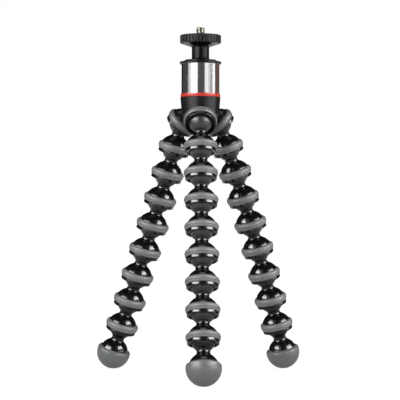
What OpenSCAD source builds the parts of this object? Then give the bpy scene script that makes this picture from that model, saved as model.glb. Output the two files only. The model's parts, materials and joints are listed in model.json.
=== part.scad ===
// Tabletop tripod: a locking ball head with a camera screw, on three legs made of snap-together ball links.
// Millimetres, +Z up. The origin is on the head's axis where the camera sits, level with the lock ring's top.
// The front leg points towards -Y.

/* [Camera screw and lock ring] */
// Outside diameter of the camera screw's thread
screw_d = 6.35; // [5.5:0.05:8]
// Length of screw that stands above the lock ring
screw_len = 5.4; // [4:0.1:8]
// Length of the lead-in at the screw's tip
screw_tip = 0.6; // [0.3:0.1:1]
// Diameter of the shank that is moulded into the post
shank_d = 5; // [4:0.1:5.4]
// Size across the corners of the six-sided head that keeps the screw from turning
screw_head_d = 8.4; // [7:0.1:9]
// Height of that head
screw_head_h = 2.4; // [1.5:0.1:3]
// Diameter of the threaded boss on top of the post
boss_d = 9.2; // [8.4:0.1:10.4]
// Wall of the brass nut that runs on the boss
nut_wall = 1.6; // [1:0.1:2]
// Height of the nut
nut_h = 5; // [3.5:0.1:5.6]
// How far the nut's flange stands out from its wall
nut_flange = 1.2; // [0.8:0.1:2]
// Thickness of that flange
nut_flange_h = 1.4; // [1:0.1:2]
// Outside diameter of the lock ring
lock_ring_d = 28.8; // [25:0.1:32]
// Height of the lock ring's fluted band
lock_ring_h = 5.9; // [5.6:0.1:9]
// Rounding of the band's corners
lock_ring_round = 0.9; // [0.4:0.1:1.5]
// Height of the cone under the band
lock_cone_h = 2.4; // [1.5:0.1:3.5]
// Width of the flat step between the band and the cone
lock_step = 1.3; // [1:0.1:2.5]
// Number of finger flutes round the band
flutes = 36; // [24:1:48]
// Diameter of each flute
flute_d = 1.7; // [1:0.1:2]
// Depth of each flute
flute_depth = 0.6; // [0.3:0.1:0.8]

/* [Neck and head ball] */
// Diameter of the post between the lock ring and the ball
post_d = 12.2; // [11:0.1:12.6]
// Diameter of the stem that goes down into the ball
stem_d = 8; // [6:0.1:9]
// Depth that the stem reaches below the ball's centre
stem_depth = 3; // [1:0.1:5]
// Diameter of the head ball
head_ball_d = 17.6; // [16.8:0.1:18.6]
// Depth of the ball's centre below the camera seat
head_ball_drop = 22.6; // [22:0.1:28]

/* [Cap, sleeve and housing] */
// Outside diameter of the cap
cap_d = 29.3; // [27:0.1:32]
// Height of the cap's mouth above the ball's centre
cap_mouth_rise = 5.1; // [4.6:0.1:5.6]
// Width of the flat round the cap's mouth
cap_land = 0.4; // [0.2:0.1:1]
// Fall of the cap's top from its mouth to its rim
cap_fall = 1.1; // [0.6:0.1:1.6]
// Thickness of the cap's rim
cap_rim_h = 1.8; // [1.2:0.1:2.4]
// How far the cap's spigot reaches into the housing
cap_spigot_h = 3.6; // [2.5:0.1:5]
// Outside diameter of the steel sleeve
sleeve_d = 26.6; // [25:0.1:28]
// Wall of the steel sleeve
sleeve_wall = 0.6; // [0.4:0.05:1]
// Length of the steel sleeve
sleeve_len = 20.7; // [19:0.1:26]
// Depth of the ball seat's edge below the ball's centre
seat_edge_drop = 3.3; // [2.6:0.1:4]
// Height of the ball seat
seat_h = 8.4; // [7.4:0.1:9.4]
// Free height of the disc spring under the seat
spring_h = 1.6; // [1.2:0.1:2]
// Thickness of the disc spring
spring_t = 0.6; // [0.4:0.1:0.8]
// Step from the housing's wall to the spigot below it
base_step = 1.6; // [1:0.1:2.4]
// How far that spigot reaches into the hub
base_spigot_h = 1.6; // [1:0.1:3]

/* [Hub] */
// Outside diameter of the red ring
red_ring_d = 27.7; // [26.8:0.1:29]
// Height of the red ring
red_ring_h = 2.4; // [1.6:0.1:4]
// Diameter of the hub at its top
hub_top_d = 28.1; // [26.8:0.1:29]
// Diameter of the hub at its lower edge
hub_low_d = 25.9; // [24:0.1:27]
// Height of the hub's barrel
hub_h = 16.4; // [15:0.1:18]
// Chamfer at the barrel's lower edge
hub_chamfer = 3; // [1.5:0.1:4]
// Diameter of the circle through the three socket centres
socket_circle_d = 31; // [30:0.1:36]
// Depth of the socket centres below the hub's top
socket_drop = 18; // [17:0.1:21]
// Angle of each socket's axis from straight down
socket_tilt = 46; // [40:1:50]
// Diameter of the bolt that holds the hub to the housing
bolt_d = 5; // [4:0.1:6]
// Diameter of the bolt's head
bolt_head_d = 8.6; // [7.6:0.1:10]
// Height of the bolt's head
bolt_head_h = 2.4; // [1.6:0.1:3]

/* [Leg links] */
// Number of links in each leg
links = 8; // [6:1:10]
// Distance from one ball's centre to the next
link_pitch = 19.3; // [18.6:0.1:21]
// Diameter of a link's ball
ball_d = 16.6; // [15.8:0.1:17]
// Diameter of the waist between a ball and its cup
neck_d = 9; // [8:0.1:9.6]
// Outside diameter of the round cup
cup_d = 21.6; // [21.2:0.1:22.4]
// Depth of the cup's rim below its centre
rim_drop = 3; // [2.6:0.1:3.6]
// Rounding of the rim's outer edge
rim_round = 0.6; // [0.3:0.1:0.8]
// Inside diameter of the rim
rim_in_d = 19; // [18.4:0.1:19.4]
// Depth below the centre of the edge that holds the ball in
edge_drop = 1.9; // [1.4:0.1:2.3]

/* [Grip rings] */
// Outside diameter of a rubber grip ring
grip_d = 23.6; // [22.8:0.1:24.4]
// Inside diameter of a grip ring
grip_in_d = 19.2; // [18.4:0.1:19.8]
// Depth of a ring's lower edge below the cup's centre
grip_drop = 0.6; // [0.2:0.1:1]
// Height of a ring's widest part above the cup's centre
grip_crest = 2.1; // [1.7:0.1:2.4]
// Height of a ring's upper edge above the cup's centre
grip_high = 4.3; // [3.8:0.1:4.8]
// How far a ring's edges stand proud of the cup
grip_proud = 0.25; // [0.1:0.05:0.5]

/* [Feet] */
// Outside diameter of a rubber foot
foot_d = 24; // [23:0.1:26]
// Wall of a rubber foot
pad_wall = 1.6; // [1.2:0.1:2.2]
// Height of a foot's lip above its centre
pad_rise = 3.2; // [2:0.1:4]

/* [Stance] */
// Lean of a straight leg that stands as tall as these do
splay = 19.1; // [12:0.1:30]
// Bend at each joint, positive outwards, for the front, left and right leg
leg_bend = [1, 0.3, -0.8]; // [-2:0.1:2]
// Turn of each leg about the vertical, from its socket
leg_swing = [2.5, 0, 4]; // [-10:0.1:10]

/* [Clearances] */
// Room between a ball and its socket
ball_gap = 0.08; // [0.05:0.01:0.15]
// Room between a shaft and the hole that it turns or slides in
run_gap = 0.05; // [0.02:0.01:0.1]
// Room between pieces that are fitted together
seat_gap = 0.05; // [0.02:0.01:0.1]
// Room between pieces that move past each other
free_gap = 0.3; // [0.2:0.05:0.5]

/* [Hidden] */
$fn = 96;
LEGS = ["front", "left", "right"];
LEG_AZIMUTH = [0, -120, 120];

// Cuts run this far past a surface, so that they leave no skin.
cut_over = 1;
// A fillet bites this far into the surfaces that it meets.
fillet_bite = 0.002;

// Lock ring, nut and post
screw_r = screw_d / 2;
shank_r = shank_d / 2;
post_r = post_d / 2;
boss_r = boss_d / 2;
boss_top = -2 * seat_gap;
nut_r = boss_r + run_gap + nut_wall;
nut_top = -free_gap - seat_gap;
nut_low = nut_top - nut_h;
post_shoulder = nut_low - free_gap;
lock_r = lock_ring_d / 2;
lock_low = -lock_ring_h - lock_cone_h;
post_bore_r = post_r + free_gap;
cone_end_r = post_bore_r + free_gap;
screw_head_low = post_shoulder - 2 * screw_head_h;

// Ball head, from the ball's centre outwards
head_ball_r = head_ball_d / 2;
head_ball_z = -head_ball_drop;
head_socket_r = head_ball_r + ball_gap;
cap_r = cap_d / 2;
cap_mouth_z = head_ball_z + cap_mouth_rise;
cap_mouth_r = sqrt(pow(head_socket_r, 2) - pow(cap_mouth_rise, 2));
cap_rim_z = cap_mouth_z - cap_fall;
cap_low_z = cap_rim_z - cap_rim_h;
sleeve_r = sleeve_d / 2;
sleeve_top_z = cap_low_z - seat_gap;
sleeve_low_z = sleeve_top_z - sleeve_len;
housing_r = sleeve_r - sleeve_wall - seat_gap;
housing_bore_r = head_socket_r + free_gap;
cap_spigot_r = (housing_bore_r + housing_r) / 2;
cap_spigot_z = cap_low_z - cap_spigot_h;
seat_top_z = head_ball_z - seat_edge_drop;
seat_low_z = head_ball_z - seat_edge_drop - seat_h;
housing_floor_z = seat_low_z - spring_h - 2 * seat_gap;
base_spigot_r = housing_r - base_step;
notch_r = post_r + free_gap;

// Hub
red_ring_top_z = sleeve_low_z - seat_gap;
red_ring_low_z = red_ring_top_z - red_ring_h;
hub_top_z = red_ring_low_z - seat_gap;
hub_low_z = hub_top_z - hub_h;
base_spigot_z = hub_top_z - base_spigot_h;
bolt_r = bolt_d / 2;
bolt_top_z = (housing_floor_z + sleeve_low_z) / 2;
socket_circle_r = socket_circle_d / 2;
socket_z = hub_top_z - socket_drop;

// Links and feet
ball_r = ball_d / 2;
neck_r = neck_d / 2;
cup_r = cup_d / 2;
socket_r = ball_r + ball_gap;
rim_in_r = rim_in_d / 2;
grip_r = grip_d / 2;
grip_in_r = grip_in_d / 2;
grip_top_r = sqrt(cup_r * cup_r - grip_high * grip_high) + grip_proud;
grip_low_r = cup_r + grip_proud;
foot_r = foot_d / 2;
foot_core_r = foot_r - pad_wall - seat_gap;

// Radius of the arc that is upright at a grip ring's crest and falls inwards over a length along the ring's axis
function crest_arc_r(fall, length) = (pow(fall, 2) + pow(length, 2)) / (2 * fall);

// Radius of the waist fillet that is tangent to a link's ball and to the sphere of radius end_r at its far end
function waist_fillet(end_r) =
    let (along = (pow(link_pitch, 2) - pow(end_r, 2) + pow(ball_r, 2)) / (2 * link_pitch),
         slope = (end_r - ball_r) / link_pitch,
         half = along * slope + ball_r - neck_r,
         rest = pow(along, 2) - pow(ball_r, 2) + pow(neck_r, 2))
    rest / (half + sqrt(pow(half, 2) - pow(slope, 2) * rest));

// Centre of that fillet in the link's section
function waist_centre(end_r) =
    let (fillet = waist_fillet(end_r))
    [neck_r + fillet, -sqrt(pow(ball_r + fillet, 2) - pow(neck_r + fillet, 2))];

// Sum of a list's first n entries
function head_sum(list, n) = n == 0 ? 0 : list[n - 1] + head_sum(list, n - 1);

// Lean of a leg's joints from straight down. A bent leg leans more on the whole, and so stands as tall.
function leg_leans(leg) =
    let (joints = links + 1,
         bend = leg_bend[leg],
         arch = bend == 0 ? 1 : joints * sin(bend / 2) / sin(joints * bend / 2),
         lean = acos(cos(splay) * arch))
    [for (joint = [0:links]) lean + bend * (joint - links / 2)];

function leg_azimuth(leg) = LEG_AZIMUTH[leg] + leg_swing[leg];

function around(azimuth, radius) = [radius * sin(azimuth), -radius * cos(azimuth)];

// Centre of a leg's ball, counted from 0 at the hub
function ball_centre(leg, joint) =
    let (leans = leg_leans(leg),
         out = link_pitch * head_sum([for (lean = leans) sin(lean)], joint),
         down = link_pitch * head_sum([for (lean = leans) cos(lean)], joint),
         flat = around(LEG_AZIMUTH[leg], socket_circle_r) + around(leg_azimuth(leg), out))
    [flat.x, flat.y, socket_z - down];

function link_name(leg, link) = str(LEGS[leg], "_link_", link + 1);

// Solid of revolution about Z from the part of a section with x above 0
module revolve() {
    half = head_ball_drop + sleeve_len + hub_h + link_pitch + foot_d;
    rotate_extrude()
        difference() {
            children();
            translate([-half, -2 * half]) square([half, 4 * half]);
        }
}

// Upright ring or disc between two radii and two heights
module band(inner_r, outer_r, low, high) {
    difference() {
        translate([0, 0, low]) cylinder(r = outer_r, h = high - low);
        if (inner_r > 0)
            translate([0, 0, low - cut_over]) cylinder(r = inner_r, h = high - low + 2 * cut_over);
    }
}

// Slot behind the ball that lets the post lie down level
module portrait_notch() {
    translate([0, 0, head_ball_z]) {
        rotate([-90, 0, 0]) cylinder(r = notch_r, h = cap_r + cut_over);
        translate([-notch_r, 0, 0]) cube([2 * notch_r, cap_r + cut_over, cap_mouth_rise + cut_over]);
    }
}

module camera_screw() {
    color("silver") {
        band(0, screw_r, -seat_gap, screw_len - screw_tip);
        translate([0, 0, screw_len - screw_tip]) cylinder(r1 = screw_r, r2 = screw_r - screw_tip, h = screw_tip);
        band(0, shank_r, screw_head_low, 0);
        translate([0, 0, screw_head_low]) cylinder(d = screw_head_d, h = screw_head_h, $fn = 6);
    }
}

module lock_band_section() {
    corner = lock_r - lock_ring_round;
    low_corner = lock_ring_round - lock_ring_h;
    union() {
        translate([0, -lock_ring_h]) square([corner, lock_ring_h]);
        translate([0, low_corner]) square([lock_r, lock_ring_h - 2 * lock_ring_round]);
        for (height = [low_corner, -lock_ring_round])
            translate([corner, height]) circle(r = lock_ring_round);
    }
}

module lock_ring() {
    color("#1a1a1a")
        difference() {
            union() {
                revolve() lock_band_section();
                translate([0, 0, lock_low]) cylinder(r1 = cone_end_r, r2 = lock_r - lock_step, h = lock_cone_h);
            }
            for (flute = [0:flutes - 1])
                rotate([0, 0, 360 * flute / flutes])
                    translate([lock_r + flute_d / 2 - flute_depth, 0, -lock_ring_h - cut_over])
                        cylinder(d = flute_d, h = lock_ring_h + 2 * cut_over);
            band(0, nut_r + nut_flange + run_gap, nut_top - nut_flange_h - seat_gap, cut_over);
            band(0, nut_r + run_gap, nut_low - seat_gap, 0);
            band(0, post_bore_r, lock_low - cut_over, nut_low);
        }
}

module lock_nut() {
    color("goldenrod") {
        band(boss_r + run_gap, nut_r, nut_low, nut_top);
        band(boss_r + run_gap, nut_r + nut_flange, nut_top - nut_flange_h, nut_top);
    }
}

module neck_post() {
    color("#1a1a1a")
        difference() {
            union() {
                band(0, boss_r, post_shoulder, boss_top);
                difference() {
                    band(0, post_r, head_ball_z, post_shoulder);
                    translate([0, 0, head_ball_z]) sphere(r = head_ball_r + run_gap);
                }
                band(0, stem_d / 2, head_ball_z - stem_depth, post_shoulder);
            }
            band(0, shank_r + seat_gap, screw_head_low, cut_over);
            translate([0, 0, screw_head_low - seat_gap])
                cylinder(d = screw_head_d + 2 * seat_gap, h = screw_head_h + 2 * seat_gap, $fn = 6);
        }
}

module head_ball() {
    color("#222222")
        difference() {
            translate([0, 0, head_ball_z]) sphere(r = head_ball_r);
            band(0, stem_d / 2 + run_gap, head_ball_z - stem_depth - free_gap, head_ball_z + head_ball_d);
        }
}

module top_cap_section() {
    lip_r = cap_rim_h / 2;
    union() {
        translate([cap_r - lip_r, cap_low_z + lip_r]) circle(r = lip_r);
        polygon([[0, cap_low_z], [cap_r - lip_r, cap_low_z], [cap_r - lip_r, cap_rim_z],
                 [cap_mouth_r + cap_land, cap_mouth_z], [0, cap_mouth_z]]);
        translate([0, cap_spigot_z]) square([cap_spigot_r, cap_mouth_z - cap_spigot_z]);
    }
}

module top_cap() {
    color("#1a1a1a")
        difference() {
            revolve() top_cap_section();
            translate([0, 0, head_ball_z]) sphere(r = head_socket_r);
            band(0, head_socket_r, cap_spigot_z - cut_over, head_ball_z);
            portrait_notch();
        }
}

module steel_sleeve() {
    color("lightgray")
        difference() {
            band(sleeve_r - sleeve_wall, sleeve_r, sleeve_low_z, sleeve_top_z);
            portrait_notch();
        }
}

module head_housing() {
    color("#1a1a1a")
        difference() {
            union() {
                band(0, housing_r, sleeve_low_z, sleeve_top_z);
                band(0, base_spigot_r, base_spigot_z, sleeve_low_z);
            }
            band(0, cap_spigot_r + seat_gap, cap_spigot_z - seat_gap, sleeve_top_z + cut_over);
            band(0, housing_bore_r, housing_floor_z, cap_spigot_z);
            band(0, bolt_r + seat_gap, base_spigot_z - cut_over, bolt_top_z + seat_gap);
            portrait_notch();
        }
}

module ball_seat() {
    color("ivory")
        difference() {
            band(0, housing_bore_r - seat_gap, seat_low_z, seat_top_z);
            translate([0, 0, head_ball_z]) sphere(r = head_socket_r);
            portrait_notch();
        }
}

module disc_spring() {
    outer_r = housing_bore_r - free_gap;
    inner_r = outer_r / 2;
    low = housing_floor_z + seat_gap;
    color("slategray")
        revolve()
            polygon([[outer_r, low], [outer_r, low + spring_t],
                     [inner_r, low + spring_h], [inner_r, low + spring_h - spring_t]]);
}

module red_ring() {
    color("#e03c32") band(base_spigot_r + seat_gap, red_ring_d / 2, red_ring_low_z, red_ring_top_z);
}

// Waist between a link's ball and the sphere of radius end_r, drawn out to the centre of its fillet
module waist_section(end_r) {
    centre = waist_centre(end_r);
    difference() {
        polygon([[0, 0], centre, [0, -link_pitch]]);
        translate(centre) circle(r = waist_fillet(end_r) + fillet_bite);
    }
}

// What is cut from a cup, whose centre is the origin: the ball's socket, the mouth and the grip ring's seat
module cup_cuts() {
    past = cup_r + cut_over;
    circle(r = socket_r);
    translate([0, -past]) square([past, past - rim_drop]);
    translate([0, -past]) square([rim_in_r, past - edge_drop]);
    translate([grip_in_r, -grip_drop - seat_gap])
        square([past + grip_r - grip_in_r, grip_high + grip_drop + 2 * seat_gap]);
}

// Outside of a cup, whose centre is the origin: its dome above the grip ring's crest, and the band below it
module cup_section() {
    past = cup_r + cut_over;
    corner = [cup_r - rim_round, rim_round - rim_drop];
    difference() {
        translate([0, -rim_drop]) square([cup_r, past + rim_drop]);
        difference() {
            translate([0, grip_crest]) square([past, past]);
            circle(r = cup_r);
        }
        difference() {
            translate([corner.x, -past]) square([past, past + corner.y]);
            translate(corner) circle(r = rim_round);
        }
    }
}

// Part of a grip ring from its crest to the height of one edge, where its radius is edge_r
module grip_section(edge_r, edge) {
    arc_r = crest_arc_r(grip_r - edge_r, abs(edge - grip_crest));
    intersection() {
        translate([grip_r - arc_r, grip_crest]) circle(r = arc_r);
        translate([grip_in_r + seat_gap, min(edge, grip_crest)]) square([grip_r, abs(edge - grip_crest)]);
    }
}

// Rubber ring round a cup, whose centre is the origin
module grip_ring() {
    color("#70757a")
        union() {
            revolve() grip_section(grip_top_r, grip_high);
            revolve() grip_section(grip_low_r, -grip_drop);
        }
}

// One link with its own ball at the origin and its cup below
module link() {
    color("#141414")
        revolve()
            difference() {
                union() {
                    circle(r = ball_r);
                    waist_section(cup_r);
                    translate([0, -link_pitch]) cup_section();
                }
                translate([0, -link_pitch]) cup_cuts();
            }
    translate([0, 0, -link_pitch]) grip_ring();
}

// Core of a foot, with its own ball at the origin
module foot_core() {
    color("#141414")
        union() {
            sphere(r = ball_r);
            revolve() waist_section(foot_core_r);
            translate([0, 0, -link_pitch]) sphere(r = foot_core_r);
        }
}

// Rubber cup round the core's lower end, with a rounded lip
module foot_pad() {
    inner_r = foot_core_r + seat_gap;
    lip_r = pad_wall / 2;
    middle_r = inner_r + lip_r;
    lip = [sqrt(pow(middle_r, 2) - pow(pad_rise, 2)), pad_rise];
    far = 2 * lip;
    color("#70757a")
        translate([0, 0, -link_pitch])
            revolve()
                union() {
                    difference() {
                        circle(r = foot_r);
                        circle(r = inner_r);
                        polygon([[0, 0], far, [far.x, foot_d], [0, foot_d]]);
                    }
                    translate(lip) circle(r = lip_r);
                }
}

// Puts a piece in the frame of one of the hub's sockets
module in_socket(leg) {
    flat = around(LEG_AZIMUTH[leg], socket_circle_r);
    translate([flat.x, flat.y, socket_z]) rotate([-socket_tilt, 0, LEG_AZIMUTH[leg]]) children();
}

// Puts a piece at one of a leg's joints, hanging along the leg
module on_leg(leg, joint) {
    translate(ball_centre(leg, joint))
        rotate([-leg_leans(leg)[joint], 0, leg_azimuth(leg)]) children();
}

module hub() {
    hub_top_r = hub_top_d / 2;
    hub_low_r = hub_low_d / 2;
    color("#1c1c1c")
        difference() {
            union() {
                revolve()
                    polygon([[0, hub_top_z], [hub_top_r, hub_top_z], [hub_low_r, hub_low_z + hub_chamfer],
                             [hub_low_r - hub_chamfer, hub_low_z], [0, hub_low_z]]);
                for (leg = [0:2]) in_socket(leg) revolve() cup_section();
            }
            for (leg = [0:2]) in_socket(leg) revolve() cup_cuts();
            band(0, base_spigot_r + seat_gap, base_spigot_z - seat_gap, hub_top_z + cut_over);
            band(0, bolt_r + seat_gap, hub_low_z - cut_over, base_spigot_z);
        }
}

module hub_grip_rings() {
    for (leg = [0:2]) in_socket(leg) grip_ring();
}

module hub_bolt() {
    color("silver") {
        band(0, bolt_r, hub_low_z - seat_gap, bolt_top_z);
        band(0, bolt_head_d / 2, hub_low_z - seat_gap - bolt_head_h, hub_low_z - seat_gap);
    }
}

camera_screw();
lock_ring();
lock_nut();
neck_post();
head_ball();
top_cap();
steel_sleeve();
head_housing();
ball_seat();
disc_spring();
red_ring();
hub();
hub_grip_rings();
hub_bolt();
for (leg = [0:2]) {
    for (link = [0:links - 1])
        on_leg(leg, link) link();
    on_leg(leg, links) foot_core();
    on_leg(leg, links) foot_pad();
}
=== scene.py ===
"""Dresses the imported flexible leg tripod: its visible pieces, finishes, stage, light and camera."""

from __future__ import annotations

import json
import logging
import math
from dataclasses import dataclass, field
from enum import Enum

import bmesh
import bpy
from mathutils import Matrix, Vector

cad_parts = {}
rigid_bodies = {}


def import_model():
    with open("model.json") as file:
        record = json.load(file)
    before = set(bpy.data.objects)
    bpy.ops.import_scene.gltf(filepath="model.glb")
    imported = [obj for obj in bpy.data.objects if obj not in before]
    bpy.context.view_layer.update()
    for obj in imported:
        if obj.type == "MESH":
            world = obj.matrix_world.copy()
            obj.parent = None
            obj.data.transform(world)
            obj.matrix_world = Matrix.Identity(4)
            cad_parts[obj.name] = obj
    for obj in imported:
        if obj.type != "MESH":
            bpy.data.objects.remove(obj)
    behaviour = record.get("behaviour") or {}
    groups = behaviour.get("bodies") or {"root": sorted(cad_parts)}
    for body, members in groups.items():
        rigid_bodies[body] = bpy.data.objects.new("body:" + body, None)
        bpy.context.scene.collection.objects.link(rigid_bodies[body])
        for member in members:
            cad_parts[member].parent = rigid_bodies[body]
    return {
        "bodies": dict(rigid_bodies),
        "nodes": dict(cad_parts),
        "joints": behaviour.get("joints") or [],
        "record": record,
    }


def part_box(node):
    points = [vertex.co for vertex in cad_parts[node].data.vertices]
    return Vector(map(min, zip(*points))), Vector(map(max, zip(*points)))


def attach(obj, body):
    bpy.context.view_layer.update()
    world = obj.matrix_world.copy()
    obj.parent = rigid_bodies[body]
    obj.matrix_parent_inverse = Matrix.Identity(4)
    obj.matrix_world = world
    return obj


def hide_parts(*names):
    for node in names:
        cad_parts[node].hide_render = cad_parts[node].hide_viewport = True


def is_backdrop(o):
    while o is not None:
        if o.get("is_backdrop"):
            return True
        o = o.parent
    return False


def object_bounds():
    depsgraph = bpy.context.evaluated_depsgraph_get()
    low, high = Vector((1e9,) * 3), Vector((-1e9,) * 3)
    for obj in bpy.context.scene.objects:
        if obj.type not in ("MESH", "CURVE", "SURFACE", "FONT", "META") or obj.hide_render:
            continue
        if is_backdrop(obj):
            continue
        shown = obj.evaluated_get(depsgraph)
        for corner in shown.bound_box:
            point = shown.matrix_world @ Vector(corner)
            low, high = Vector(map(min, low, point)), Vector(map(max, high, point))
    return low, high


LOG = logging.getLogger("tripod")
MM = 0.001
LEGS = ("front", "left", "right")
LINKS = 8
WELD_M = 1e-7
THREAD_WELD_M = 1e-6
SHARP_DEGREES = 32.0
SMOOTH_DEGREES = 40.0
NOISE_MIDDLE = 0.5
LINE_STRETCH = (0.02, 0.02, 1.0)
COLOUR_A = 6
COLOUR_B = 7
COLOUR_OUT = 2
BLACK_SLOT = "gloss_black_plastic"
RUBBER_SLOT = "grey_rubber"
STEEL_SLOT = "screw_steel"


# Shader trees


class Operation(Enum):
    """What a Math node works out."""

    ADD = "ADD"
    SUBTRACT = "SUBTRACT"
    MULTIPLY = "MULTIPLY"
    MAXIMUM = "MAXIMUM"


@dataclass(frozen=True)
class Wire:
    """An output socket of a shader tree, with arithmetic that adds Math nodes."""

    graph: Graph
    socket: bpy.types.NodeSocket | None

    def _math(self, operation: Operation, first: Wire | float, second: Wire | float) -> Wire:
        """Adds one Math node.

        Args:
            operation: The node's operation.
            first: Its first value.
            second: Its second value.

        Returns:
            The node's result.
        """
        return self.graph.node("ShaderNodeMath", {"operation": operation.value}, {0: first, 1: second})

    def __add__(self, other: Wire | float) -> Wire:
        """Sum."""
        return self._math(Operation.ADD, self, other)

    def __radd__(self, other: float) -> Wire:
        """Sum, number first."""
        return self._math(Operation.ADD, other, self)

    def __sub__(self, other: Wire | float) -> Wire:
        """Difference."""
        return self._math(Operation.SUBTRACT, self, other)

    def __rsub__(self, other: float) -> Wire:
        """Difference, number first."""
        return self._math(Operation.SUBTRACT, other, self)

    def __mul__(self, other: Wire | float) -> Wire:
        """Product."""
        return self._math(Operation.MULTIPLY, self, other)

    def most(self, other: Wire | float) -> Wire:
        """The larger of two values."""
        return self._math(Operation.MAXIMUM, self, other)


class Graph:
    """A shader tree that is written from Python."""

    def __init__(self, tree: bpy.types.NodeTree) -> None:
        """Empties a tree and takes it over."""
        self.tree = tree
        tree.nodes.clear()

    def node(
        self,
        kind: str,
        settings: dict[str, object] | None = None,
        sockets: dict[str | int, object] | None = None,
        output: str | int = 0,
    ) -> Wire:
        """Adds a node.

        Args:
            kind: The node's type.
            settings: Its properties.
            sockets: Values or wires by the name or number of an input.
            output: The output that is returned.

        Returns:
            That output as a wire.
        """
        made = self.tree.nodes.new(kind)
        for name, value in (settings or {}).items():
            setattr(made, name, value)
        for name, value in (sockets or {}).items():
            if isinstance(value, Wire):
                self.tree.links.new(value.socket, made.inputs[name])
            else:
                made.inputs[name].default_value = value
        return Wire(self, made.outputs[output] if made.outputs else None)

    def place(self, scale: tuple[float, float, float] = (1, 1, 1)) -> Wire:
        """Object coordinates through a Mapping node.

        Args:
            scale: Stretch along each axis.

        Returns:
            The mapped place.
        """
        place = self.node("ShaderNodeTexCoord", output="Object")
        return self.node("ShaderNodeMapping", None, {"Vector": place, "Scale": scale})

    def noise(self, where: Wire, per_metre: float, detail: float = 2.0, rough: float = 0.5) -> Wire:
        """Noise from 0 to 1.

        Args:
            where: Place.
            per_metre: Lumps in a metre.
            detail: Octaves.
            rough: Weight of the finer octaves.

        Returns:
            The noise value.
        """
        sockets = {"Vector": where, "Scale": per_metre, "Detail": detail, "Roughness": rough}
        return self.node("ShaderNodeTexNoise", None, sockets)

    def step(self, value: Wire, low: float, high: float) -> Wire:
        """A smooth step of a value from 0 at low to 1 at high."""
        sockets = {"Value": value, "From Min": low, "From Max": high}
        return self.node("ShaderNodeMapRange", {"interpolation_type": "SMOOTHSTEP"}, sockets)

    def tint(self, share: Wire | float, first: tuple[float, ...], second: tuple[float, ...]) -> Wire:
        """A colour between two.

        Args:
            share: How much of the second.
            first: Red, green and blue at 0.
            second: Red, green and blue at 1.

        Returns:
            The colour.
        """
        sockets = {"Factor": share, COLOUR_A: (*first, 1), COLOUR_B: (*second, 1)}
        return self.node("ShaderNodeMix", {"data_type": "RGBA"}, sockets, COLOUR_OUT)

    def bump(self, height: Wire, depth: float) -> Wire:
        """A normal from a height between 0 and 1, in metres of depth."""
        return self.node("ShaderNodeBump", None, {"Height": height, "Distance": depth, "Strength": 1.0})


# Finishes


@dataclass(frozen=True)
class Patches:
    """Soft-edged patches of noise, which start at one of its values and are full at another."""

    per_metre: float
    detail: float
    rough: float
    start: float
    full: float

    def spread(self, graph: Graph, where: Wire) -> Wire:
        """Lays the patches out.

        Args:
            graph: The tree that they belong to.
            where: Place.

        Returns:
            How much of a patch is there, from 0 to 1.
        """
        return graph.step(graph.noise(where, self.per_metre, self.detail, self.rough), self.start, self.full)


HANDLING = Patches(70.0, 3.0, 0.5, 0.35, 0.75)
RUBS = Patches(420.0, 4.0, 0.7, 0.56, 0.74)
BLOOM = Patches(130.0, 4.0, 0.6, 0.4, 0.75)
STAINS = Patches(160.0, 4.0, 0.6, 0.45, 0.75)


@dataclass(frozen=True)
class Finish:
    """A material. A kind of finish adds how its colour, roughness and surface vary."""

    name: str
    colour: tuple[float, float, float]
    roughness: float
    metallic: float = 0.0
    specular: float = 0.5

    def vary(self, graph: Graph) -> dict[str, object]:
        """Gives the sockets that differ from the plain finish, with what feeds them."""
        return {}

    def build(self) -> bpy.types.Material:
        """Makes the material.

        Returns:
            The material, ready for a slot.
        """
        made = bpy.data.materials.new(self.name)
        made.use_nodes = True
        graph = Graph(made.node_tree)
        sockets: dict[str, object] = {
            "Base Color": (*self.colour, 1),
            "Roughness": self.roughness,
            "Metallic": self.metallic,
            "Specular IOR Level": self.specular,
        }
        sockets.update(self.vary(graph))
        shader = graph.node("ShaderNodeBsdfPrincipled", None, sockets)
        graph.node("ShaderNodeOutputMaterial", None, {"Surface": shader})
        return made


@dataclass(frozen=True)
class MouldedPlastic(Finish):
    """Injection-moulded plastic with a fine texture and slight handling marks."""

    grain_mm: float = 0.25
    grain_depth_mm: float = 0.004
    mark: float = 0.06
    worn: tuple[float, float, float] = (0.05, 0.05, 0.052)
    worn_share: float = 0.35

    def vary(self, graph: Graph) -> dict[str, object]:
        """Texture in the normal, and marks in the roughness and colour.

        Args:
            graph: The material's tree.

        Returns:
            What feeds the sockets that vary.
        """
        place = graph.place()
        grain = graph.noise(place, 1 / (self.grain_mm * MM), detail=3.0)
        cloud = HANDLING.spread(graph, place)
        rub = RUBS.spread(graph, place)
        return {
            "Base Color": graph.tint(rub * self.worn_share, self.colour, self.worn),
            "Roughness": self.roughness + (cloud - NOISE_MIDDLE) * self.mark + rub * self.mark,
            "Normal": graph.bump(grain, self.grain_depth_mm * MM),
        }


@dataclass(frozen=True)
class Rubber(Finish):
    """Matt moulded rubber with a pale bloom where it is rubbed."""

    grain_mm: float = 0.35
    grain_depth_mm: float = 0.02
    bloom: tuple[float, float, float] = (0.3, 0.3, 0.31)
    cloud_share: float = 0.35
    grain_share: float = 0.15
    grain_rough: float = 0.16

    def vary(self, graph: Graph) -> dict[str, object]:
        """Grain in the normal, and bloom in the colour.

        Args:
            graph: The material's tree.

        Returns:
            What feeds the sockets that vary.
        """
        place = graph.place()
        grain = graph.noise(place, 1 / (self.grain_mm * MM), detail=4.0, rough=0.6)
        pale = BLOOM.spread(graph, place) * self.cloud_share + grain * self.grain_share
        return {
            "Base Color": graph.tint(pale, self.colour, self.bloom),
            "Roughness": self.roughness + (grain - NOISE_MIDDLE) * self.grain_rough,
            "Normal": graph.bump(grain, self.grain_depth_mm * MM),
        }


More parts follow.
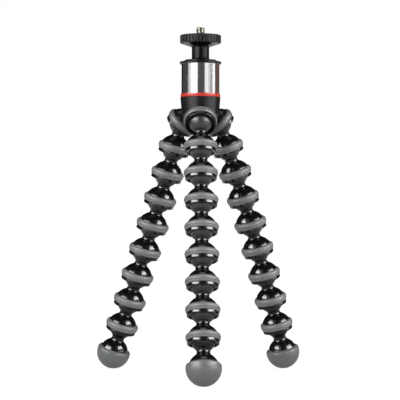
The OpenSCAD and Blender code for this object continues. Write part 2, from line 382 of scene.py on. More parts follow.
@dataclass(frozen=True)
class TurnedMetal(Finish):
    """Metal with fine marks round its axis."""

    lines_mm: float = 0.12
    line_depth_mm: float = 0.0006
    line_rough: float = 0.05
    stain: tuple[float, float, float] = (0.55, 0.54, 0.52)
    stain_share: float = 0.3
    stain_rough: float = 0.04

    def vary(self, graph: Graph) -> dict[str, object]:
        """Fine rings in the normal, and slight stains.

        Args:
            graph: The material's tree.

        Returns:
            What feeds the sockets that vary.
        """
        rings = graph.noise(graph.place(LINE_STRETCH), 1 / (self.lines_mm * MM))
        cloud = STAINS.spread(graph, graph.place())
        uneven = (rings - NOISE_MIDDLE) * self.line_rough + cloud * self.stain_rough
        return {
            "Base Color": graph.tint(cloud * self.stain_share, self.colour, self.stain),
            "Roughness": self.roughness + uneven,
            "Normal": graph.bump(rings, self.line_depth_mm * MM),
        }


@dataclass(frozen=True)
class ZonedPlastic(MouldedPlastic):
    """Satin plastic that is moulded glossy beyond a distance from the axis, or below a depth."""

    along: tuple[float, float, float] = (1, 1, 0)
    start_mm: float = 14.1
    edge_mm: float = 0.3
    gloss: float = 0.24

    def vary(self, graph: Graph) -> dict[str, object]:
        """As the plain plastic, with the gloss by the distance.

        Args:
            graph: The material's tree.

        Returns:
            What feeds the sockets that vary.
        """
        sockets = super().vary(graph)
        kept = graph.place(self.along)
        far = graph.node("ShaderNodeVectorMath", {"operation": "LENGTH"}, {0: kept}, output="Value")
        share = graph.step(far, self.start_mm * MM, (self.start_mm + self.edge_mm) * MM)
        sockets["Roughness"] = sockets["Roughness"] * (1 - share) + share * self.gloss
        return sockets


GLOSS_BLACK = MouldedPlastic(
    "gloss_black",
    (0.005, 0.005, 0.0055),
    0.15,
    grain_mm=0.9,
    grain_depth_mm=0.0012,
    mark=0.05,
)
BALL_BLACK = MouldedPlastic("ball_black", (0.03, 0.03, 0.031), 0.36, grain_mm=0.22, grain_depth_mm=0.004)
SATIN_BLACK = MouldedPlastic(
    "satin_black",
    (0.004, 0.004, 0.0042),
    0.27,
    specular=0.2,
    grain_mm=0.22,
    grain_depth_mm=0.003,
    worn=(0.01, 0.01, 0.0105),
)
LOCK_BLACK = ZonedPlastic(
    "lock_black",
    (0.004, 0.004, 0.0042),
    0.38,
    specular=0.2,
    grain_mm=0.22,
    grain_depth_mm=0.0015,
    mark=0.03,
    worn=(0.008, 0.008, 0.0084),
    along=(0, 0, 1),
    start_mm=5.8,
    gloss=0.16,
)
HUB_BLACK = ZonedPlastic(
    "hub_black",
    (0.005, 0.005, 0.0052),
    0.3,
    specular=0.36,
    grain_mm=0.22,
    grain_depth_mm=0.005,
    worn=(0.03, 0.03, 0.031),
)
RING_RUBBER = Rubber("ring_rubber", (0.203, 0.209, 0.214), 0.54, bloom=(0.26, 0.265, 0.27))
# Painted shade: the same rubber as the legs' rings, with its colour and bloom painted darker for the rings
# round the hub's sockets
SHADED_HUB_RUBBER = Rubber("hub_rubber_painted_shade", (0.15, 0.155, 0.16), 0.5, bloom=(0.19, 0.195, 0.2))
FOOT_RUBBER = Rubber(
    "foot_rubber",
    (0.16, 0.168, 0.173),
    0.45,
    grain_depth_mm=0.008,
    bloom=(0.19, 0.196, 0.2),
)
STEEL = TurnedMetal("polished_steel", (0.66, 0.655, 0.65), 0.12, metallic=1.0)
PLATED = TurnedMetal("plated_steel", (0.3, 0.29, 0.255), 0.26, metallic=1.0, stain=(0.2, 0.18, 0.13))
SPRING = TurnedMetal("spring_steel", (0.3, 0.31, 0.34), 0.3, metallic=1.0, stain=(0.2, 0.2, 0.24))
BRASS = TurnedMetal("turned_brass", (0.72, 0.52, 0.22), 0.24, metallic=1.0, stain=(0.5, 0.36, 0.16))
RED = MouldedPlastic(
    "red_gloss",
    (0.78, 0.05, 0.035),
    0.26,
    specular=0.35,
    grain_mm=0.6,
    grain_depth_mm=0.001,
    worn=(0.85, 0.12, 0.09),
)
SEAT = MouldedPlastic("seat_plastic", (0.76, 0.74, 0.66), 0.45, worn=(0.6, 0.58, 0.5))


class Palette:
    """The materials, each made once."""

    def __init__(self) -> None:
        """Starts empty."""
        self.made: dict[str, bpy.types.Material] = {}

    def get(self, finish: Finish) -> bpy.types.Material:
        """Gives a finish's material, and makes it the first time.

        Args:
            finish: The finish.

        Returns:
            Its material.
        """
        if finish.name not in self.made:
            self.made[finish.name] = finish.build()
        return self.made[finish.name]


# Turned pieces


class Outline:
    """Half section of a turned piece, in millimetres from its axis and along it, to be spun once round."""

    def __init__(self, radius: float, height: float) -> None:
        """Starts the section at a point.

        Args:
            radius: Its distance from the axis.
            height: Its height along the axis.
        """
        self.mesh = bmesh.new()
        self.first = self.mesh.verts.new((radius * MM, 0, height * MM))
        self.tip = self.first

    def line(self, radius: float, height: float) -> Outline:
        """Draws on to a point.

        Args:
            radius: Its distance from the axis.
            height: Its height along the axis.

        Returns:
            This outline.
        """
        self.tip = bmesh.ops.extrude_vert_indiv(self.mesh, verts=[self.tip])["verts"][0]
        self.tip.co = (radius * MM, 0, height * MM)
        return self

    def arc(self, centre: tuple[float, float], degrees: float, steps: int) -> Outline:
        """Draws on round a centre, counter-clockwise with the axis on the left.

        Args:
            centre: The arc's centre, as radius and height.
            degrees: Its sweep, negative for clockwise.
            steps: Number of edges.

        Returns:
            This outline.
        """
        made = bmesh.ops.spin(
            self.mesh,
            geom=[self.tip],
            cent=(centre[0] * MM, 0, centre[1] * MM),
            axis=(0, -1, 0),
            angle=math.radians(degrees),
            steps=steps,
            use_merge=False,
        )
        self.tip = made["geom_last"][0]
        return self

    def close(self) -> Outline:
        """Draws on to the first point."""
        self.mesh.edges.new((self.tip, self.first))
        return self

    def turn(self, steps: int, soften_mm: float = 0.0) -> bmesh.types.BMesh:
        """Spins the section once round.

        Args:
            steps: Number of faces round the axis.
            soften_mm: Width of the rounding on sharp edges.

        Returns:
            The turned mesh.
        """
        mesh = self.mesh
        bmesh.ops.spin(
            mesh,
            geom=mesh.verts[:] + mesh.edges[:],
            cent=(0, 0, 0),
            axis=(0, 0, 1),
            angle=math.tau,
            steps=steps,
            use_merge=True,
        )
        bmesh.ops.remove_doubles(mesh, verts=mesh.verts[:], dist=WELD_M)
        bmesh.ops.recalc_face_normals(mesh, faces=mesh.faces[:])
        if soften_mm:
            soften(mesh, soften_mm)
        return mesh


def soften(mesh: bmesh.types.BMesh, width_mm: float) -> None:
    """Rounds the sharp edges of a mesh.

    Args:
        mesh: The mesh.
        width_mm: Width of the rounding.
    """
    limit = math.radians(SHARP_DEGREES)
    sharp = [e for e in mesh.edges if e.is_manifold and e.calc_face_angle(0) > limit]
    bmesh.ops.bevel(
        mesh,
        geom=sharp,
        offset=width_mm * MM,
        offset_type="OFFSET",
        segments=3,
        profile=0.5,
        affect="EDGES",
        material=-1,
        clamp_overlap=True,
    )


def to_object(name: str, mesh: bmesh.types.BMesh) -> bpy.types.Object:
    """Makes an object of a mesh, which is freed.

    Args:
        name: Name of the object and of its data.
        mesh: Its shape.

    Returns:
        The object, linked to the scene.
    """
    data = bpy.data.meshes.new(name)
    mesh.to_mesh(data)
    mesh.free()
    made = bpy.data.objects.new(name, data)
    bpy.context.scene.collection.objects.link(made)
    return made


@dataclass
class Bench:
    """What every sub-assembly needs to hand a finished piece to the frame."""

    frame: dict[str, object]
    palette: Palette

    def piece(
        self,
        name: str,
        mesh: bmesh.types.BMesh,
        finish: Finish,
        body: str,
        slot: str,
        stands_for: tuple[str, ...],
        where: Matrix | None = None,
        second: Finish | None = None,
    ) -> None:
        """Makes an object of a mesh, dresses it and lets it ride on a body.

        Args:
            name: The piece's name.
            mesh: Its mesh, which is freed.
            finish: Its finish.
            body: The CAD body that carries it.
            slot: The record's material slot, which is not used.
            stands_for: CAD nodes that it replaces.
            where: Its place.
            second: The finish of the faces that carry material index 1.
        """
        if where is not None:
            bmesh.ops.transform(mesh, matrix=where, verts=mesh.verts[:])
        for face in mesh.faces:
            face.smooth = True
        made = to_object(name, mesh)
        made.data.set_sharp_from_angle(angle=math.radians(SMOOTH_DEGREES))
        for used in (finish, second):
            if used:
                made.data.materials.append(self.palette.get(used))
        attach(made, body)
        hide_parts(*stands_for)
        LOG.info("%s: %d faces on %s", name, len(made.data.polygons), body)

    def dress(self, node: str, finish: Finish) -> None:
        """Gives a CAD node that stays in view its finish.

        Args:
            node: The node's name.
            finish: Its finish.
        """
        shown = self.frame["nodes"][node]
        shown.data.materials.clear()
        shown.data.materials.append(self.palette.get(finish))
        LOG.info("%s: CAD node in %s", node, finish.name)

    def joint_places(self) -> dict[str, Vector]:
        """Where each joint of the frame sits."""
        return {j["name"]: Vector(j["pos_m"]) for j in self.frame["joints"] if j.get("pos_m")}


# Legs


@dataclass
class Link:
    """One ball link: a ball, a waist and a cup with a rubber ring, in millimetres from the ball's centre."""

    pitch: float = 19.3
    ball_r: float = 8.3
    neck_r: float = 4.5
    cup_r: float = 10.8
    ball_gap: float = 0.08
    rim_drop: float = 3.0
    rim_round: float = 0.6
    rim_in_r: float = 9.5
    edge_drop: float = 1.9
    grip_r: float = 11.8
    grip_in_r: float = 9.6
    grip_drop: float = 0.6
    grip_crest: float = 2.1
    grip_high: float = 4.3
    grip_proud: float = 0.25
    grip_round: float = 0.75
    groove_z: float = 0.9
    groove_r: float = 0.5
    seat_gap: float = 0.05
    edge_round: float = 0.16
    steps: int = 72
    ball_steps: int = 26
    waist_steps: int = 14
    cup_steps: int = 14
    rim_steps: int = 6
    socket_steps: int = 22
    corner_steps: int = 5
    groove_steps: int = 6
    crest_steps: int = 12

    def waist(self, end_r: float) -> tuple[float, float]:
        """Finds the waist's fillet, tangent to the ball and to a sphere at the far end.

        Args:
            end_r: Radius of the far sphere.

        Returns:
            The fillet's centre, as radius and height.
        """
        along = (self.pitch**2 - end_r**2 + self.ball_r**2) / (2 * self.pitch)
        slope = (end_r - self.ball_r) / self.pitch
        half = along * slope + self.ball_r - self.neck_r
        rest = along**2 - self.ball_r**2 + self.neck_r**2
        fillet = rest / (half + math.sqrt(half**2 - slope**2 * rest))
        drop = math.sqrt((self.ball_r + fillet) ** 2 - (self.neck_r + fillet) ** 2)
        return self.neck_r + fillet, -drop

    def upper(self, end_r: float) -> Outline:
        """Draws the ball and the waist down to the far sphere.

        Args:
            end_r: Radius of the far sphere.

        Returns:
            The outline, ending where the waist meets that sphere.
        """
        centre = self.waist(end_r)
        ball_angle = math.degrees(math.atan2(centre[1], centre[0]))
        far_angle = math.degrees(math.atan2(centre[1] + self.pitch, centre[0]))
        return (
            Outline(0, self.ball_r)
            .arc((0, 0), ball_angle - 90, self.ball_steps)
            .arc(centre, far_angle - ball_angle, self.waist_steps)
        )

    def shell(self) -> bmesh.types.BMesh:
        """The black link with its socket and the ring's seat.

        Returns:
            The turned mesh.
        """
        low = -self.pitch
        seat_top = low + self.grip_high + self.seat_gap
        seat_low = low - self.grip_drop - self.seat_gap
        rim = (self.cup_r - self.rim_round, low - self.rim_drop + self.rim_round)
        socket_r = self.ball_r + self.ball_gap
        centre = self.waist(self.cup_r)
        tangent = math.atan2(centre[1], centre[0])
        start = math.degrees(math.atan2(centre[1] - low, centre[0]))
        seat = math.degrees(math.asin((seat_top - low) / self.cup_r))
        edge = math.degrees(math.asin(-self.edge_drop / socket_r))
        outline = self.upper(self.cup_r)
        outline.arc((0, low), seat - start, self.cup_steps)
        outline.line(self.grip_in_r, seat_top)
        outline.line(self.grip_in_r, seat_low)
        outline.line(self.cup_r, seat_low)
        outline.line(self.cup_r, rim[1])
        outline.arc(rim, -90, self.rim_steps)
        outline.line(self.rim_in_r, low - self.rim_drop)
        outline.line(self.rim_in_r, low - self.edge_drop)
        outline.line(socket_r * math.cos(math.radians(edge)), low - self.edge_drop)
        outline.arc((0, low), 90 - edge, self.socket_steps)
        mesh = outline.turn(self.steps, self.edge_round)
        ball_low = self.ball_r * math.sin(tangent) * MM
        for face in mesh.faces:
            face.material_index = int(face.calc_center_median().z > ball_low)
        return mesh

    def grip(self) -> bmesh.types.BMesh:
        """The rubber ring, with its own cup's centre at the origin.

        Returns:
            The turned mesh.
        """
        top_r = math.sqrt(self.cup_r**2 - self.grip_high**2) + self.grip_proud
        top_arc = self._crest_arc(self.grip_r - top_r, self.grip_high - self.grip_crest)
        low_r = self.cup_r + self.grip_proud
        low_arc = self._crest_arc(self.grip_r - low_r, self.grip_crest + self.grip_drop)
        above = (self.grip_r - top_arc, self.grip_crest)
        below = (self.grip_r - low_arc, self.grip_crest)
        top = math.degrees(math.asin((self.grip_high - self.grip_crest) / top_arc))
        corner_z = self.grip_round - self.grip_drop
        corner_turn = math.asin((corner_z - self.grip_crest) / (low_arc - self.grip_round))
        corner = (below[0] + (low_arc - self.grip_round) * math.cos(corner_turn), corner_z)
        low = math.degrees(corner_turn)
        groove = math.asin((self.groove_z - self.grip_crest) / low_arc)
        width = math.asin(self.groove_r / low_arc)
        middle = low_arc * math.cos(width)
        groove_at = (below[0] + middle * math.cos(groove), below[1] + middle * math.sin(groove))
        inner = self.grip_in_r + self.seat_gap
        outline = Outline(inner, -self.grip_drop)
        outline.line(corner[0], -self.grip_drop)
        outline.arc(corner, 90 + low, self.corner_steps)
        outline.arc(below, math.degrees(groove - width) - low, self.corner_steps)
        outline.arc(groove_at, -180, self.groove_steps)
        outline.arc(below, -math.degrees(groove + width), self.groove_steps)
        outline.arc(above, top, self.crest_steps)
        outline.line(inner, self.grip_high).close()
        return outline.turn(self.steps)

    @staticmethod
    def _crest_arc(fall: float, length: float) -> float:
        """Radius of the arc that is upright at the ring's crest and falls inwards over a length."""
        return (fall**2 + length**2) / (2 * fall)


@dataclass
class Foot:
    """A rubber-shod foot on its own ball, in millimetres from the ball's centre."""

    link: Link
    foot_r: float = 12.0
    pad_wall: float = 1.6
    shoulder_rise: float = 2.2
    lip_rise: float = 3.5
    lip_round: float = 0.4
    core_steps: int = 30
    pad_steps: int = 34

    @property
    def core_r(self) -> float:
        """Radius of the core's round end."""
        return self.foot_r - self.pad_wall - self.link.seat_gap

    def core(self) -> bmesh.types.BMesh:
        """The black core.

        Returns:
            The turned mesh.
        """
        low = -self.link.pitch
        centre = self.link.waist(self.core_r)
        start = math.degrees(math.atan2(centre[1] - low, centre[0]))
        outline = self.link.upper(self.core_r)
        outline.arc((0, low), -90 - start, self.core_steps)
        return outline.turn(self.link.steps)

    def pad(self) -> bmesh.types.BMesh:
        """The rubber cup, with a sloping lip round the core.

        Returns:
            The turned mesh.
        """
        low = -self.link.pitch
        inner = self.core_r + self.link.seat_gap
        shoulder = math.degrees(math.asin(self.shoulder_rise / self.foot_r))
        rise = math.degrees(math.asin(self.lip_rise / inner))
        outline = Outline(0, low - self.foot_r)
        outline.arc((0, low), 90 + shoulder, self.pad_steps)
        outline.line(inner * math.cos(math.radians(rise)), low + self.lip_rise)
        outline.arc((0, low), -90 - rise, self.core_steps)
        return outline.turn(self.link.steps, self.lip_round)


@dataclass
class Leg:
    """A leg of links that ends in a foot."""

    bench: Bench
    name: str
    link: Link
    foot: Foot
    places: list[Matrix] = field(default_factory=list)

    def __post_init__(self) -> None:
        """Works out where each link hangs, from the joints of the frame."""
        joints = self.bench.joint_places()
        balls = [joints[f"{self.name}_ball_{n + 1}"] for n in range(LINKS + 1)]
        ways = [(after - ball).normalized() for ball, after in zip(balls, balls[1:])]
        # The foot bends on as the last link does
        ways.append(2 * ways[-1].dot(ways[-2]) * ways[-1] - ways[-2])
        for ball, way in zip(balls, ways):
            turn = Vector((0, 0, -1)).rotation_difference(way).to_matrix().to_4x4()
            self.places.append(Matrix.Translation(ball) @ turn)

    def build(self) -> None:
        """Makes and dresses every piece of the leg."""
        for number, place in enumerate(self.places[:-1], 1):
            node = f"{self.name}_link_{number}"
            shell, grip = self.link.shell(), self.link.grip()
            cup = place @ Matrix.Translation((0, 0, -self.link.pitch * MM))
            self.bench.piece(
                f"{node}_shell", shell, GLOSS_BLACK, node, BLACK_SLOT, (node,), place, BALL_BLACK
            )
            self.bench.piece(f"{node}_grip", grip, RING_RUBBER, node, RUBBER_SLOT, (node,), cup)
        end = self.places[-1]
        body = f"{self.name}_foot"
        core, pad = f"{body}_core", f"{body}_pad"
        self.bench.piece(f"{core}_shell", self.foot.core(), GLOSS_BLACK, body, BLACK_SLOT, (core,), end)
        self.bench.piece(f"{pad}_rubber", self.foot.pad(), FOOT_RUBBER, body, RUBBER_SLOT, (pad,), end)


# Head and hub


@dataclass
class CameraScrew:
    """The camera screw, in millimetres from the camera seat, with its profile in eighths of the pitch."""

    bench: Bench
    major_r: float = 3.175
    pitch: float = 1.27
    depth: float = 0.72
    root_end: float = 2.0
    crest_start: float = 4.5
    crest_end: float = 5.5
    low: float = -0.08
    high: float = 5.4
    tip: float = 0.7
    spare_below: int = 2
    spare_above: int = 1
    steps: int = 48

    def wind(self) -> bmesh.types.BMesh:
        """Winds the thread, with spare turns at both ends.

        Returns:
            The open helix.
        """
        mesh = bmesh.new()
        minor = self.major_r - self.depth
        profile = (
            (minor, 0),
            (minor, self.root_end),
            (self.major_r, self.crest_start),
            (self.major_r, self.crest_end),
        )
        turns = math.ceil((self.high - self.low) / self.pitch) + self.spare_below + self.spare_above
        base = self.low - self.spare_below * self.pitch
        eighth = self.pitch / 8
        row: list[bmesh.types.BMVert] = []
        for turn in range(turns):
            start = base + turn * self.pitch
            row += [mesh.verts.new((r * MM, 0, (start + share * eighth) * MM)) for r, share in profile]
        edges = [mesh.edges.new(pair) for pair in zip(row, row[1:])]
        bmesh.ops.spin(
            mesh,
            geom=row + edges,
            cent=(0, 0, 0),
            axis=(0, 0, 1),
            dvec=(0, 0, self.pitch * MM / self.steps),
            angle=math.tau,
            steps=self.steps,
            use_merge=False,
        )
        bmesh.ops.remove_doubles(mesh, verts=mesh.verts[:], dist=THREAD_WELD_M)
        return mesh

    def trim(self, mesh: bmesh.types.BMesh) -> None:
        """Cuts the thread level at both ends and closes it.

        Args:
            mesh: The helix.
        """
        for height, clear_below in ((self.low, True), (self.high, False)):
            cut = bmesh.ops.bisect_plane(
                mesh,
                geom=mesh.verts[:] + mesh.edges[:] + mesh.faces[:],
                plane_co=(0, 0, height * MM),
                plane_no=(0, 0, 1),
                clear_inner=clear_below,
                clear_outer=not clear_below,
            )
            rim = [g for g in cut["geom_cut"] if isinstance(g, bmesh.types.BMEdge)]
            bmesh.ops.contextual_create(mesh, geom=rim)

    def taper(self, mesh: bmesh.types.BMesh) -> None:
        """Draws the thread in towards its tip.

        Args:
            mesh: The trimmed thread.
        """
        for vert in mesh.verts:
            room = self.major_r - max(0.0, vert.co.z / MM - self.high + self.tip)
            reach = math.hypot(vert.co.x, vert.co.y) / MM
            if reach > room:
                vert.co.x *= room / reach
                vert.co.y *= room / reach

    def build(self) -> None:
        """Makes and dresses the screw."""
        mesh = self.wind()
        self.trim(mesh)
        self.taper(mesh)
        bmesh.ops.recalc_face_normals(mesh, faces=mesh.faces[:])
        self.bench.piece("camera_screw_thread", mesh, PLATED, "neck_post", STEEL_SLOT, ("camera_screw",))


@dataclass
class HubBolt:
    """The bolt under the hub, with a six-sided socket in its head, in millimetres."""

    bench: Bench
    shank_r: float = 2.5
    head_h: float = 2.4
    socket_r: float = 2.3
    socket_depth: float = 1.5
    edge_round: float = 0.2
    sides: int = 6
    steps: int = 48

    def build(self) -> None:
        """Turns the bolt to the size of its CAD node and sinks the socket."""
        low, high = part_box("hub_bolt")
        head_r, base, top = high[0] / MM, low[2] / MM, high[2] / MM
        outline = Outline(0, top).line(self.shank_r, top).line(self.shank_r, base + self.head_h)
        mesh = outline.line(head_r, base + self.head_h).line(head_r, base).turn(self.steps)
        rim = [e for e in mesh.edges if e.is_boundary]
        place = Matrix.Translation((0, 0, low[2]))
        bmesh.ops.create_circle(mesh, segments=self.sides, radius=self.socket_r * MM, matrix=place)
        flats = [e for e in mesh.edges if not e.link_faces]
        bmesh.ops.subdivide_edges(mesh, edges=flats, cuts=self.steps // self.sides - 1)
        mouth = [e for e in mesh.edges if not e.link_faces]
        bmesh.ops.bridge_loops(mesh, edges=rim + mouth)
        sunk = bmesh.ops.extrude_edge_only(mesh, edges=mouth)["geom"]
        deep = [g for g in sunk if isinstance(g, bmesh.types.BMVert)]
        bmesh.ops.translate(mesh, verts=deep, vec=(0, 0, self.socket_depth * MM))
        floor = [g for g in sunk if isinstance(g, bmesh.types.BMEdge)]
        bmesh.ops.contextual_create(mesh, geom=floor)
        bmesh.ops.recalc_face_normals(mesh, faces=mesh.faces[:])
        soften(mesh, self.edge_round)
        self.bench.piece("hub_bolt_head", mesh, PLATED, "hub", STEEL_SLOT, ("hub_bolt",))


@dataclass
class Head:
    """The ball head and the hub, whose CAD nodes mostly stay in view."""

    bench: Bench
    link: Link
    socket_tilt: float = 46.0
    ring_wall: float = 2.75
    ring_round: float = 0.3
    ring_steps: int = 96

    def build(self) -> None:
        """Makes the new pieces and dresses the rest."""
        CameraScrew(self.bench).build()
        for node in ("neck_post", "head_ball", "top_cap", "head_housing"):
            self.bench.dress(node, SATIN_BLACK)
        self.bench.dress("lock_ring", LOCK_BLACK)
        self.bench.dress("hub", HUB_BLACK)
        self.bench.dress("steel_sleeve", STEEL)
        self.bench.dress("lock_nut", BRASS)
        self.bench.dress("ball_seat", SEAT)
        self.bench.dress("disc_spring", SPRING)
        HubBolt(self.bench).build()
        self.red_band()
        self.sockets()

    def red_band(self) -> None:
        """Turns the red ring, with soft edges, to the size of its CAD node."""
        low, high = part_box("red_ring")
        outer = high[0] / MM
        inner = outer - self.ring_wall
        ring = Outline(inner, low[2] / MM).line(outer, low[2] / MM)
        ring.line(outer, high[2] / MM).line(inner, high[2] / MM).close()
        band = ring.turn(self.ring_steps, self.ring_round)
        self.bench.piece("red_ring_band", band, RED, "hub", "red_plastic", ("red_ring",))

    def sockets(self) -> None:
        """Puts a grip ring round each of the hub's sockets."""
        joints = self.bench.joint_places()
        for leg in LEGS:
            ball = joints[f"{leg}_ball_1"]
            turn = Matrix.Rotation(math.atan2(ball.x, -ball.y), 4, "Z")
            tilt = Matrix.Rotation(-math.radians(self.socket_tilt), 4, "X")
            place = Matrix.Translation(ball) @ turn @ tilt
            grip = self.link.grip()
            rings = ("hub_grip_rings",)
            # These rings wear the darker copy of the ring rubber, whose colour is painted shade
            self.bench.piece(f"hub_{leg}_grip", grip, SHADED_HUB_RUBBER, "hub", RUBBER_SLOT, rings, place)


# Stage, light and camera


def grey(level: float) -> tuple[float, float, float]:
    """A grey of one level."""
    return level, level, level


WHITE = grey(1.0)


@dataclass
class Softbox:
    """A soft lamp that faces the tripod."""

    name: str
    azimuth: float
    radiance: float
    elevation: float = 12
    distance: float = 1.4
    width: float = 1.3
    height: float = 0.75

    def build(self, target: Vector) -> None:
        """Hangs the lamp.

        Args:
            target: The point that it faces.
        """
        data = bpy.data.lights.new(self.name, "AREA")
        data.shape = "RECTANGLE"
        data.size = self.width
        data.size_y = self.height
        data.energy = self.radiance * math.pi * self.width * self.height
        lamp = bpy.data.objects.new(self.name, data)
        around, up = math.radians(self.azimuth), math.radians(self.elevation)
        away = Vector((math.sin(around) * math.cos(up), -math.cos(around) * math.cos(up), math.sin(up)))
        lamp.location = target + away * self.distance
        lamp.rotation_euler = away.to_track_quat("Z", "Y").to_euler()
        lamp.visible_camera = False
        bpy.context.scene.collection.objects.link(lamp)


@dataclass
class Card:
    """A card that only gloss and metal see: dark to hold the white off, bright to give a highlight."""

    name: str
    shade: tuple[float, float, float]
    strength: float = 1.0
    radius: float = 0.95
    high: float = 0.9

    def shape(self) -> bmesh.types.BMesh:
        """Draws the card, each kind in its own way."""
        raise NotImplementedError

    def build(self) -> None:
        """Hangs the card."""
        card = to_object(self.name, self.shape())
        material = bpy.data.materials.new(self.name)
        material.use_nodes = True
        graph = Graph(material.node_tree)
        glow = graph.node("ShaderNodeEmission", None, {"Color": (*self.shade, 1), "Strength": self.strength})
        graph.node("ShaderNodeOutputMaterial", None, {"Surface": glow})
        card.data.materials.append(material)
        card.visible_camera = False
        card.visible_diffuse = False
        card.visible_shadow = False
        card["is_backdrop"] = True


@dataclass
class LevelCard(Card):
    """A round level card over or under the tripod."""

    sides: int = 48

    def shape(self) -> bmesh.types.BMesh:
        """Draws a disc at the card's height.

        Returns:
            The disc.
        """
        mesh = bmesh.new()
        bmesh.ops.create_circle(mesh, cap_ends=True, segments=self.sides, radius=self.radius)
        bmesh.ops.translate(mesh, verts=mesh.verts[:], vec=(0, 0, self.high))
        return mesh


@dataclass
class BentCard(Card):
    """An upright card that is bent round the tripod, between two azimuths in degrees."""

    low: float = -0.235
    steps: int = 24
    azimuths: tuple[float, float] = field(kw_only=True)

    def shape(self) -> bmesh.types.BMesh:
        """Bends a strip round the upright axis.

        Returns:
            The strip.
        """
        mesh = bmesh.new()
        start = math.radians(self.azimuths[0])
        sweep = math.radians(self.azimuths[1] - self.azimuths[0])
        foot = Vector((math.sin(start), -math.cos(start), 0)) * self.radius
        ends = [mesh.verts.new(foot + Vector((0, 0, z))) for z in (self.low, self.high)]
        geom = [*ends, mesh.edges.new(ends)]
        bmesh.ops.spin(mesh, geom=geom, cent=(0, 0, 0), axis=(0, 0, 1), angle=sweep, steps=self.steps)
        return mesh


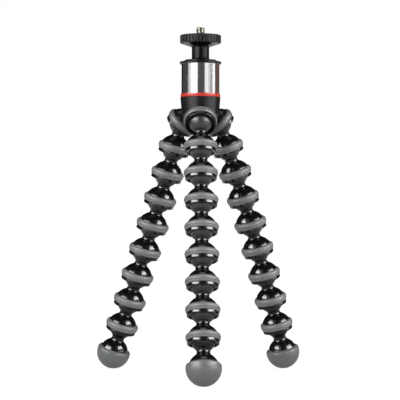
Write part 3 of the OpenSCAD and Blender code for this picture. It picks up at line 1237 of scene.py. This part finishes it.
@dataclass
class Studio:
    """The pale floor, the white surround, the camera, the lamps and the cards."""

    floor_z: float
    reach: float = 12.0
    ambient: float = 0.42
    floor_grey: float = 0.35
    floor_glow: float = 0.86
    floor_fill: float = 0.3
    camera_at: tuple[float, float, float] = (-0.00017, -1.065, -0.1156)
    camera_roll: float = 0.1
    focal_px: float = 1518.24
    frame_px: float = 400.0
    sensor_mm: float = 36.0
    clip: tuple[float, float] = (0.01, 50.0)
    aim_z: float = -0.1
    card_lift: float = 0.0005
    strip_r: float = 0.94
    strip_low: float = -0.05
    window_r: float = 0.93
    window_low: float = 0.17
    window_step: float = 0.22

    @staticmethod
    def _seen(graph: Graph) -> Wire:
        """Tells the rays that show the surround: from the camera, a gloss or a clear piece.

        Args:
            graph: The tree that asks.

        Returns:
            1 for such a ray and 0 for any other.
        """
        paths = [
            graph.node("ShaderNodeLightPath", output=name)
            for name in ("Is Camera Ray", "Is Glossy Ray", "Is Transmission Ray")
        ]
        return paths[0].most(paths[1]).most(paths[2])

    def world(self) -> None:
        """Makes the surround white to the eye and plain to the light."""
        world = bpy.data.worlds.new("surround")
        world.use_nodes = True
        bpy.context.scene.world = world
        graph = Graph(world.node_tree)
        strength = self._seen(graph) * (1 - self.ambient) + self.ambient
        glow = graph.node("ShaderNodeBackground", None, {"Color": (*WHITE, 1), "Strength": strength})
        graph.node("ShaderNodeOutputWorld", None, {"Surface": glow})

    def floor(self) -> None:
        """Lays the floor."""
        mesh = bmesh.new()
        bmesh.ops.create_grid(mesh, x_segments=1, y_segments=1, size=self.reach)
        bmesh.ops.translate(mesh, verts=mesh.verts[:], vec=(0, 0, self.floor_z))
        floor = to_object("floor", mesh)
        material = bpy.data.materials.new("floor")
        material.use_nodes = True
        graph = Graph(material.node_tree)
        matt = graph.node("ShaderNodeBsdfDiffuse", None, {"Color": (*grey(self.floor_grey), 1)})
        strength = self._seen(graph) * (self.floor_glow - self.floor_fill) + self.floor_fill
        glow = graph.node("ShaderNodeEmission", None, {"Strength": strength})
        both = graph.node("ShaderNodeAddShader", None, {0: matt, 1: glow})
        graph.node("ShaderNodeOutputMaterial", None, {"Surface": both})
        floor.data.materials.append(material)
        floor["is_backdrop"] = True

    def camera(self) -> None:
        """Sets the camera up level with the middle of the legs."""
        data = bpy.data.cameras.new("camera")
        data.sensor_width = self.sensor_mm
        data.lens = self.focal_px * self.sensor_mm / self.frame_px
        data.clip_start, data.clip_end = self.clip
        camera = bpy.data.objects.new("camera", data)
        camera.location = self.camera_at
        camera.rotation_euler = (math.pi / 2, -math.radians(self.camera_roll), 0)
        bpy.context.scene.collection.objects.link(camera)
        bpy.context.scene.camera = camera

    def lamps(self) -> None:
        """Hangs a soft lamp at each side."""
        target = Vector((0, 0, self.aim_z))
        Softbox("left_softbox", azimuth=-45, radiance=2.7).build(target)
        Softbox("right_softbox", azimuth=70, radiance=2.9).build(target)

    def cards(self) -> None:
        """Hangs the plain cards: round the camera and the back, over the tripod and on the floor."""
        strip = {"radius": self.strip_r, "low": self.strip_low}
        for card in (
            BentCard("camera_card", grey(0.1), azimuths=(-19, 26)),
            BentCard("left_edge_card", grey(0.005), azimuths=(-180, -137)),
            BentCard("left_back_card", (0.07, 0.07, 0.075), azimuths=(-137, -78)),
            BentCard("right_back_card", grey(0.03), azimuths=(98, 180)),
            BentCard("right_warm_strip", (0.17, 0.11, 0.085), high=0.1, azimuths=(100, 158), **strip),
            LevelCard("roof_card", grey(0.03), radius=0.96),
            LevelCard("roof_window", WHITE, 1.6, radius=0.3, high=0.88),
            LevelCard("floor_card", grey(0.42), radius=0.2, high=self.floor_z + self.card_lift),
        ):
            card.build()

    def strips(self) -> None:
        """Hangs the low strips, from grey to white, at both sides."""
        for name, azimuths, radiance in (
            ("left_grey_strip", (-78, -57), 0.78),
            ("left_white_strip", (-55, -19), 2.4),
            ("right_pale_strip", (26, 48), 1.25),
            ("right_mid_strip", (48, 60), 0.75),
            ("right_grey_strip", (60, 81), 0.36),
            ("right_white_strip", (82, 98), 1.6),
        ):
            BentCard(
                name,
                WHITE,
                radiance,
                radius=self.strip_r,
                low=self.strip_low,
                high=self.window_low,
                azimuths=azimuths,
            ).build()

    def windows(self) -> None:
        """Hangs a tall window at each side, over the strips, dimmer with each step up."""
        for name, azimuths, levels in (
            ("left_window", (-84, -31), (18.0, 13.0, 4.0)),
            ("right_window", (44, 92), (18.0, 14.0, 6.0)),
        ):
            for step, radiance in enumerate(levels):
                low = self.window_low + step * self.window_step
                BentCard(
                    f"{name}_{step}",
                    WHITE,
                    radiance,
                    radius=self.window_r,
                    low=low,
                    high=low + self.window_step,
                    azimuths=azimuths,
                ).build()

    def build(self) -> None:
        """Makes the whole studio."""
        bpy.context.scene.view_settings.view_transform = "Standard"
        self.world()
        self.floor()
        self.camera()
        self.lamps()
        self.cards()
        self.strips()
        self.windows()


def main() -> None:
    """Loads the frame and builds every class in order."""
    logging.basicConfig(level=logging.INFO, format="%(name)s: %(message)s")
    for thing in list(bpy.data.objects):
        bpy.data.objects.remove(thing)
    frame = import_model()
    cad_box = [list(corner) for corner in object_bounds()]
    bench = Bench(frame, Palette())
    link = Link()
    foot = Foot(link)
    Studio(floor_z=cad_box[0][2]).build()
    Head(bench, link).build()
    for name in LEGS:
        Leg(bench, name, link, foot).build()


if __name__ == "__main__":
    main()
